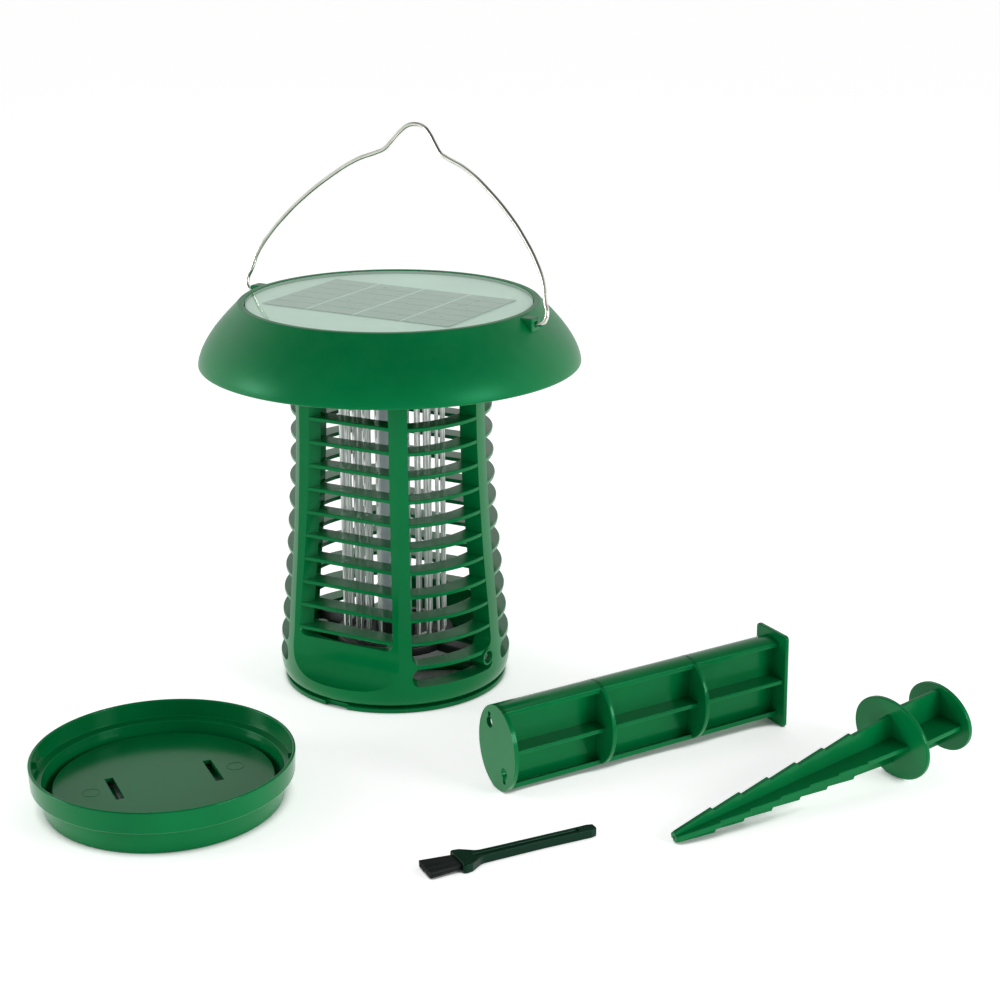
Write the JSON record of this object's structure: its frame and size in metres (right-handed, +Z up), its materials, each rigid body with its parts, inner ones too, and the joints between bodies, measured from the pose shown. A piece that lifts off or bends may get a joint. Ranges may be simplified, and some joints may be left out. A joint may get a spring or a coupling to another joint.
{
  "type": "solar electric bug zapper",
  "caption": "Hooded solar insect zapper with louvred cage, wire bail and light tube, with its catch tray, extension post, ground stake and cleaning brush laid beside it.",
  "frame": {"origin": "middle of the lamp's foot, on the surface it stands on", "axes": "+Z up, +X along the line of the bail's two pivots, -Y towards the flat window"},
  "size_m": [0.4045, 0.3396, 0.2879],
  "materials": {
    "green_gloss": "moulded gloss",
    "green_satin": "fine satin",
    "screw_steel": "zinc plated",
    "grid_steel": "bright drawn wire",
    "bail_steel": "bright drawn wire",
    "black_plastic": "satin",
    "tube_frost": "frosted",
    "led_board": "solder mask",
    "seal_rubber": "matt",
    "panel_backing": "pale mint",
    "solar_cell": "silvery strips",
    "panel_cover": "polished",
    "circuit_board": "solder mask",
    "coil_tape": "taped",
    "capacitor_sleeve": "shrink sleeve",
    "battery_sleeve": "shrink sleeve",
    "brush_plastic": "moulded satin",
    "bristle": "nylon bristle"
  },
  "bodies": {
    "lamp": {"base_ring": "green_gloss", "cage_front": "green_gloss", "cage_front_right": "green_gloss", "cage_back_right": "green_gloss", "cage_back": "green_gloss", "cage_back_left": "green_gloss", "cage_front_left": "green_gloss", "side_screw_1": "screw_steel", "side_screw_2": "screw_steel", "cage_screw_1": "screw_steel", "cage_screw_2": "screw_steel", "cage_screw_3": "screw_steel", "cage_screw_4": "screw_steel", "outer_grid": "grid_steel", "inner_grid": "grid_steel", "grid_base_holder": "black_plastic", "grid_top_holder": "black_plastic", "tube_end_cap": "black_plastic", "lamp_socket": "black_plastic", "light_tube": "tube_frost", "led_strip": "led_board", "hood_shell": "green_satin", "hood_base_plate": "green_satin", "hood_screw_1": "screw_steel", "hood_screw_2": "screw_steel", "hood_screw_3": "screw_steel", "hood_screw_4": "screw_steel", "solar_seal": "seal_rubber", "solar_backing": "panel_backing", "solar_cells": "solar_cell", "solar_cover": "panel_cover", "control_board": "circuit_board", "step_up_transformer": "coil_tape", "storage_capacitor": "capacitor_sleeve", "push_switch": "black_plastic", "battery_cell": "battery_sleeve", "battery_holder": "black_plastic"},
    "bail": {"bail_wire": "bail_steel"},
    "button": {"power_button": "black_plastic"},
    "door": {"battery_door": "green_satin"},
    "tray": {"catch_tray": "green_gloss"},
    "post": {"extension_post": "green_gloss"},
    "stake": {"ground_stake": "green_gloss"},
    "brush": {"brush_handle": "brush_plastic", "brush_bristles": "bristle"}
  },
  "joints": [
    {"name": "bail_swing", "type": "hinge", "parent": "lamp", "child": "bail", "pos_m": [0, 0, 0.1985], "axis": [1, 0, 0], "range_deg": [-66, 101]},
    {"name": "power_button_press", "type": "slide", "parent": "lamp", "child": "button", "axis": [0, 0, 1], "range_m": [0, 0.0015], "stiffness_N_per_m": 300},
    {"name": "battery_door_swing", "type": "hinge", "parent": "lamp", "child": "door", "pos_m": [0, 0.0742, 0.1724], "axis": [1, 0, 0], "range_deg": [0, 95]},
    {"name": "tray_lift", "type": "slide", "parent": "lamp", "child": "tray", "axis": [0, 0, 1], "range_m": [0, 0.12]},
    {"name": "post_lift", "type": "slide", "parent": "lamp", "child": "post", "axis": [0, 0, 1], "range_m": [0, 0.12]},
    {"name": "stake_lift", "type": "slide", "parent": "lamp", "child": "stake", "axis": [0, 0, 1], "range_m": [0, 0.12]},
    {"name": "brush_lift", "type": "slide", "parent": "lamp", "child": "brush", "axis": [0, 0, 1], "range_m": [0, 0.12]}
  ]
}
